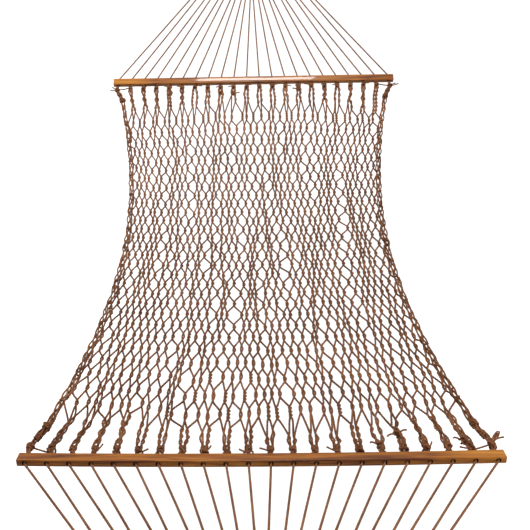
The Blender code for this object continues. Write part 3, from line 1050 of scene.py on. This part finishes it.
def keep_off_bar(path, face, outward, clearance):
    """Moves points that come too near the bar back toward the bed."""
    distance = (path - face) @ -outward
    return path - outward * np.maximum(clearance - distance, 0)[:, None]


def add_extra_knot(parts, side, hole, face, toward_bed):
    distance, tails = EXTRA_KNOTS[(side, hole)]
    x = hole_x(hole) + bunch_lean(hole_x(hole)) * distance / 0.09
    y = face[1] - side * distance
    centre = np.array([x, y, bed_z(x, y)])
    knot_cord(parts, centre + knot_curve(0.025, 60 + hole, 0.9), 0.0031)
    second = centre + toward_bed * 0.008 + knot_curve(0.020, 61 + hole, 1.1)
    knot_cord(parts, second, 0.0029)
    for q in range(tails):
        way = (-1, 1)[(q + hole) % 2]
        out = unit(np.array([way, -side * (0.5 - 0.7 * q), 0.3]))
        bend = np.array([0.0, side * 0.4, -0.1])
        tail = catmull([centre, centre + out * 0.014,
                        centre + out * 0.026 + bend * 0.006,
                        centre + out * 0.034 + bend * 0.018])
        knot_cord(parts, tail, 0.0028)


def build_bar_knot(side, hole):
    x = hole_x(hole)
    outward = hole_axis(side)
    face = bedside_mouth(side, hole, 0.0022)
    bunch_end = np.array([x, KNOT_Y[side], bed_z(x, KNOT_Y[side])])
    toward_bed = unit(bunch_end - face)
    rng = np.random.default_rng(100 * (side + 2) + hole)
    size = rng.uniform(0.023, 0.030) * (1.0 if side < 0 else 0.88)
    centre = (face + toward_bed * size * 0.46
              + np.array([rng.uniform(-1, 1) * 0.001, 0, 0]))
    parts = Parts()
    # two knots drawn into one lump, with a wrap behind them
    first = centre + knot_curve(size, 7 * hole + side, 0.9)
    knot_cord(parts, keep_off_bar(first, face, outward, 0.0032), 0.0031)
    second = (centre + toward_bed * 0.007
              + knot_curve(size * 0.78, 900 + 7 * hole + side))
    knot_cord(parts, keep_off_bar(second, face, outward, 0.0032), 0.0025)
    wrap = coil(face + toward_bed * (size * 0.9 + 0.004), toward_bed, radius=0.0094,
                turns=1.6 + rng.uniform(0, 0.8), length=0.010,
                phase=rng.uniform(0, 6), squash=0.75)
    knot_cord(parts, wrap, 0.0028)
    # the four strands run into the lump
    for q in range(4):
        offset = (-1 if q < 2 else 1) * HALF_BUNCH
        start = bunch_end + np.array([offset + (q % 2 - 0.5) * 0.003, 0.0, 0])
        end = centre + np.array([offset * 0.6, 0, (q % 2 - 0.5) * 0.004])
        middle = (start + end) / 2 + np.array([offset * 0.25, 0, 0.001 * (q % 2)])
        strand = catmull([start + (start - middle) * 0.12, middle, end])
        tube(parts, strand, 0.0028, pitch=0.026)
    if hole in TAILS[side]:
        way, lean = TAILS[side][hole]
        length = rng.uniform(0.022, 0.032)
        away = unit(np.array([way, 0, 0]) + toward_bed * lean + np.array([0, 0, 0.15]))
        bend = unit(np.cross(away, UP)) * rng.uniform(-0.3, 0.3)
        tail = catmull([centre, centre + away * length * 0.45,
                        centre + away * length * 0.8 + bend * length * 0.3,
                        centre + away * length * 1.15 + bend * length * 0.8])
        knot_cord(parts, keep_off_bar(tail, face, outward, 0.0030),
                  np.linspace(0.0025, 0.0027, len(tail)))
    if (side, hole) in EXTRA_KNOTS:
        add_extra_knot(parts, side, hole, face, toward_bed)
    obj = parts.object(f"{END[side]}_bar_knot_{hole + 1:02d}", NET_ROPE)
    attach(obj, END[side] + "_end")


for side in (-1, 1):
    for hole in range(1, HOLES - 1):
        build_bar_knot(side, hole)


# --------------------------------------------------------------- oak bars
# A bar is made level with its holes along Y, then turned into place.
def bar_blank(side):
    bm = bmesh.new()
    bmesh.ops.create_cube(bm, size=1.0)
    for v in bm.verts:
        v.co.x *= BAR_LENGTH
        v.co.y *= BAR_DEPTH
        v.co.z *= BAR_HEIGHT
    lengthwise = [e for e in bm.edges if abs(e.verts[0].co.x - e.verts[1].co.x) > 0.1]
    bmesh.ops.subdivide_edges(bm, edges=lengthwise, cuts=31, use_grid_fill=True)
    for v in bm.verts:
        v.co.y += bow_at(side, v.co.x)
    bevel_sharp(bm, offset=0.0018, segments=4)
    name = END[side] + "_oak_bar"
    mesh = bpy.data.meshes.new(name)
    bm.to_mesh(mesh)
    bm.free()
    return add_object(name, mesh)


def bar_cutter(side):
    """Straight bores, with a flare at both mouths."""
    wide, thin = HOLE_R + 0.0016, HOLE_R - 0.0002
    bm = bmesh.new()
    for i in range(HOLES):
        x = hole_x(i)
        y = bow_at(side, x)
        add_drill(bm, (x, y, 0), HOLE_R, HOLE_R, BAR_DEPTH + 0.02)
        for end, r1, r2 in ((-1, thin, wide), (1, wide, thin)):
            add_drill(bm, (x, y + end * (BAR_DEPTH / 2 - 0.0013), 0), r1, r2, 0.0030)
    return bm


def paint_bore_shade(mesh):
    """Gives the faces inside the holes the bore material, which paints shade into them.
    """
    mesh.materials.append(BORE_GRAIN_AND_SHADE)
    for poly in mesh.polygons:
        x, _, z = poly.center
        near = round(x / HOLE_PITCH + (HOLES - 1) / 2.0)
        # faces in the bore and most of its mouth flare get the painted shade
        if (0 <= near < HOLES and math.hypot(x - hole_x(near), z) < HOLE_R + 0.0014
                and abs(poly.normal.y) < 0.98):
            poly.material_index = 1


def build_bar(side):
    obj = bar_blank(side)
    # drill the holes, then paint shade inside them
    paint_bore_shade(drill(obj, bar_cutter(side), OAK, self_cut=True))
    turn = Matrix((Vector((side, 0, 0)), Vector(hole_axis(side)),
                   Vector(bar_normal(side)))).transposed().to_4x4()
    obj.matrix_world = Matrix.Translation((0, side * BAR_Y, BAR_Z)) @ turn
    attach(obj, END[side] + "_bar")
    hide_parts(END[side] + "_spreader_bar")


for side in (-1, 1):
    build_bar(side)


# ------------------------------------------------------- rings and hardware
def circle(centre, radius, count, axis_a, axis_b):
    """Angles and points of a closed circle in the plane of two unit axes."""
    angle = np.linspace(0, 2 * np.pi, count + 1)[:-1]
    return angle, centre + radius * (np.cos(angle)[:, None] * axis_a
                                     + np.sin(angle)[:, None] * axis_b)


def clew_up(side):
    return unit(clew_point(side, 0, 0, 1) - clew_point(side, 0, 0, 0))


def build_ring(side):
    centre = clew_point(side, 0, 0, 0)
    outward = unit(centre - clew_point(side, 0, 1, 0))
    _, path = circle(centre, RING_R, 96, np.array([1.0, 0, 0]), outward)
    parts = Parts()
    tube(parts, path, RING_WIRE, sides=20, depth=0.0, pitch=0, up=clew_up(side),
         closed=True)
    obj = parts.object(END[side] + "_steel_ring", ZINC)
    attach(obj, END[side] + "_end")
    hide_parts(END[side] + "_ring")


def build_weft(side):
    """The cord that snakes between the two layers and round the mat's edges."""
    first_pass, pass_pitch = 0.074, 0.0185
    points = []
    for k in range(12):
        inward = first_pass + pass_pitch * k
        lanes = OUTER_LANE * (MAT_TIP - inward) / (MAT_TIP - MAT_OUTER)
        reach = LANE * lanes + 0.0067
        way = -1 if k % 2 else 1
        if k:
            # round the edge from the pass before
            for a in np.linspace(-1.2, 1.2, 5):
                points.append(clew_point(
                    side, -way * (reach - 0.002 + 0.0065 * math.cos(a)),
                    inward - pass_pitch / 2 * (1 - math.sin(a)), 0.0))
        for x in np.linspace(-way * (reach - 0.004), way * (reach - 0.004), 9):
            points.append(clew_point(side, x, inward, 0.0))
    path = resample(np.array(points), 0.0016)
    soften(path, 6)
    parts = Parts()
    tube(parts, path, 0.0021, sides=9, depth=0.07, pitch=0.014, up=clew_up(side))
    obj = parts.object(END[side] + "_weft_cord", WEFT)
    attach(obj, END[side] + "_end")
    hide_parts(END[side] + "_clew_weft")


def build_hook(side):
    """A round wire hook, its neck bent out into the plate, with a weld bead."""
    outline = []                    # y at the head end, z
    for k in range(41):
        a = math.radians(128 + (360 - 128) * k / 40)
        outline.append((HOOK_BEND_Y + HOOK_BEND * math.cos(a),
                        AXIS_Z + HOOK_BEND * math.sin(a)))
    for k in range(1, 13):
        a = math.radians(180 - 90 * k / 12)
        outline.append((HOOK_BEND_Y + HOOK_BEND + NECK_BEND + NECK_BEND * math.cos(a),
                        AXIS_Z + NECK_BEND + NECK_BEND * math.sin(a)))
    outline.append((PLATE_Y + 0.002, PLATE_Z))
    path = np.array([(0.0, side * y, z) for y, z in outline])
    radii = np.full(len(path), HOOK_WIRE)
    radii[:3] = [HOOK_WIRE * 0.55, HOOK_WIRE * 0.83, HOOK_WIRE * 0.95]   # rounded tip
    parts = Parts()
    tube(parts, path, radii, sides=20, depth=0.0, pitch=0, up=np.array([1.0, 0, 0]))
    foot = np.array([0.0, side * (PLATE_Y - 0.0006), PLATE_Z])
    angle, bead = circle(foot, 0.0053, 40, np.array([1.0, 0, 0]), UP)
    tube(parts, bead, 0.0017 * (1 + 0.12 * np.sin(angle * 11)), sides=10, depth=0.0,
         pitch=0, up=np.array([0, 1.0, 0]), closed=True)
    obj = parts.object(END[side] + "_hook", ZINC)
    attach(obj, "anchors")


def build_plate(side):
    """An upright plate with rounded corners and four screw holes."""
    bm = bmesh.new()
    outline = []
    for cx, cz, start in ((1, 1, 0), (-1, 1, 90), (-1, -1, 180), (1, -1, 270)):
        for k in range(9):
            a = math.radians(start + 90 * k / 8)
            outline.append((
                cx * (PLATE_HALF_WIDTH - PLATE_CORNER) + PLATE_CORNER * math.cos(a),
                cz * (PLATE_HALF_HEIGHT - PLATE_CORNER) + PLATE_CORNER * math.sin(a)))
    face = bm.faces.new([bm.verts.new((x, side * PLATE_Y, PLATE_Z + z))
                         for x, z in outline])
    solid = bmesh.ops.extrude_face_region(bm, geom=[face])
    bmesh.ops.translate(bm, vec=(0, side * PLATE_THICKNESS, 0),
                        verts=[v for v in solid["geom"]
                               if isinstance(v, bmesh.types.BMVert)])
    bmesh.ops.recalc_face_normals(bm, faces=bm.faces)
    bevel_sharp(bm, offset=0.0007, segments=3)
    mesh = bpy.data.meshes.new("plate")
    bm.to_mesh(mesh)
    bm.free()
    obj = add_object(END[side] + "_plate", mesh)
    cutter = bmesh.new()
    for sx in (-1, 1):
        for sz in (-1, 1):
            spot = (sx * SCREW_X, side * (PLATE_Y + PLATE_THICKNESS / 2),
                    PLATE_Z + sz * SCREW_Z)
            add_drill(cutter, spot, SCREW_R, SCREW_R, 0.02)
    drill(obj, cutter, ZINC)
    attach(obj, "anchors")
    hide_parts(END[side] + "_hook_plate")


for side in (-1, 1):
    build_ring(side)
    build_weft(side)
    build_hook(side)
    build_plate(side)


# --------------------------------------------------- floor, light and camera
def floor_material():
    """Pale to the camera, paler away from the head end; mid grey to other rays."""
    material, tree, shader = new_material("pale_floor")
    path = tree.nodes.new("ShaderNodeLightPath")
    tone = node(tree, "ShaderNodeMix", data_type="RGBA")
    tone.inputs["A"].default_value = (0.42, 0.42, 0.42, 1)
    place = tree.nodes.new("ShaderNodeTexCoord")
    away = node(tree, "ShaderNodeVectorMath", operation="DISTANCE")
    tree.links.new(place.outputs["Object"], away.inputs[0])
    away.inputs[1].default_value = (0.0, 2.1, FLOOR_Z)
    pale = node(tree, "ShaderNodeMapRange")
    set_inputs(pale, {"From Min": 0.5, "From Max": 2.6, "To Min": 0.72, "To Max": 0.97})
    tree.links.new(away.outputs["Value"], pale.inputs["Value"])
    tree.links.new(pale.outputs["Result"], tone.inputs["B"])
    tree.links.new(path.outputs["Is Camera Ray"], tone.inputs["Factor"])
    tree.links.new(tone.outputs["Result"], shader.inputs["Base Color"])
    set_inputs(shader, {"Roughness": 0.9, "Specular IOR Level": 0.0})
    return material


def build_floor():
    material = floor_material()
    mesh = bpy.data.meshes.new("floor")
    corners = [(x, y, FLOOR_Z) for x, y in ((-30, -30), (30, -30), (30, 30), (-30, 30))]
    mesh.from_pydata(corners, [], [(0, 1, 2, 3)])
    mesh.materials.append(material)
    add_object("floor", mesh)


def build_world():
    """Soft light, brighter overhead and at the head end; white to the camera."""
    world = bpy.data.worlds.new("studio")
    world.use_nodes = True
    tree = world.node_tree
    background = tree.nodes["Background"]
    coord = tree.nodes.new("ShaderNodeTexCoord")
    axes = tree.nodes.new("ShaderNodeSeparateXYZ")
    tree.links.new(coord.outputs["Generated"], axes.inputs[0])
    # strength = max(0.85 y + 0.20 + 1.25 z, 0.06)
    slope = math_node(tree, "MULTIPLY_ADD", axes.outputs["Y"], 0.85)
    slope.inputs[2].default_value = 0.20
    high = math_node(tree, "MULTIPLY_ADD", axes.outputs["Z"], 1.25)
    tree.links.new(slope.outputs[0], high.inputs[2])
    lowest = math_node(tree, "MAXIMUM", high.outputs[0], 0.06)
    path = tree.nodes.new("ShaderNodeLightPath")
    seen = node(tree, "ShaderNodeMix", data_type="FLOAT")
    tree.links.new(path.outputs["Is Camera Ray"], seen.inputs[0])
    # reflections see it dimmed to 0.4
    dim = math_node(tree, "MULTIPLY_ADD", path.outputs["Is Glossy Ray"], -0.6)
    dim.inputs[2].default_value = 1.0
    soft = node(tree, "ShaderNodeMath", operation="MULTIPLY")
    tree.links.new(lowest.outputs[0], soft.inputs[0])
    tree.links.new(dim.outputs[0], soft.inputs[1])
    tree.links.new(soft.outputs[0], seen.inputs[2])
    seen.inputs[3].default_value = 1.0      # strength the camera sees
    background.inputs["Color"].default_value = (1, 1, 1, 1)
    tree.links.new(seen.outputs[0], background.inputs["Strength"])
    bpy.context.scene.world = world


def area_light(name, spot, aim, size, power):
    light = bpy.data.lights.new(name, "AREA")
    light.shape = "RECTANGLE"
    light.size, light.size_y = size
    light.energy = power
    light.color = (1.0, 0.985, 0.96)
    obj = add_object(name, light)
    obj.location = spot
    obj.rotation_euler = (Vector(aim) - Vector(spot)).to_track_quat("-Z", "Y").to_euler()


def build_camera():
    data = bpy.data.cameras.new("camera")
    data.sensor_width = 36.0
    data.sensor_fit = "HORIZONTAL"
    data.lens = 46.7116981
    data.shift_x = 0.0503773585
    data.clip_end = 100.0
    cam = add_object("camera", data)
    # yaw turns from +Y toward +X, pitch looks down, roll turns about the view
    yaw, pitch, roll = (math.radians(a) for a in (-1.646, 45.13, -1.868))
    forward = Vector((math.sin(yaw) * math.cos(pitch), math.cos(yaw) * math.cos(pitch),
                      -math.sin(pitch)))
    right = forward.cross(Vector((0, 0, 1))).normalized()
    up = right.cross(forward)
    rolled_right = right * math.cos(roll) + up * math.sin(roll)
    rolled_up = up * math.cos(roll) - right * math.sin(roll)
    turn = Matrix((rolled_right, rolled_up, -forward)).transposed().to_4x4()
    cam.matrix_world = Matrix.Translation((-0.0146, -2.0414, 1.9146)) @ turn
    bpy.context.scene.camera = cam


build_floor()
build_world()
area_light("overhead_softbox", spot=(0.03, 1.60, 2.30), aim=(0.0, 1.04, 0.12),
           size=(0.94, 0.40), power=44)
area_light("side_softbox", spot=(1.75, -1.9, 0.75), aim=(0.55, -1.0, 0.1),
           size=(0.9, 0.9), power=20)
area_light("far_left_softbox", spot=(-2.3, 0.95, 1.5), aim=(-0.45, 1.03, 0.12),
           size=(0.6, 0.6), power=34)
bpy.context.scene.view_settings.view_transform = "Standard"
bpy.context.scene.view_settings.look = "None"
build_camera()
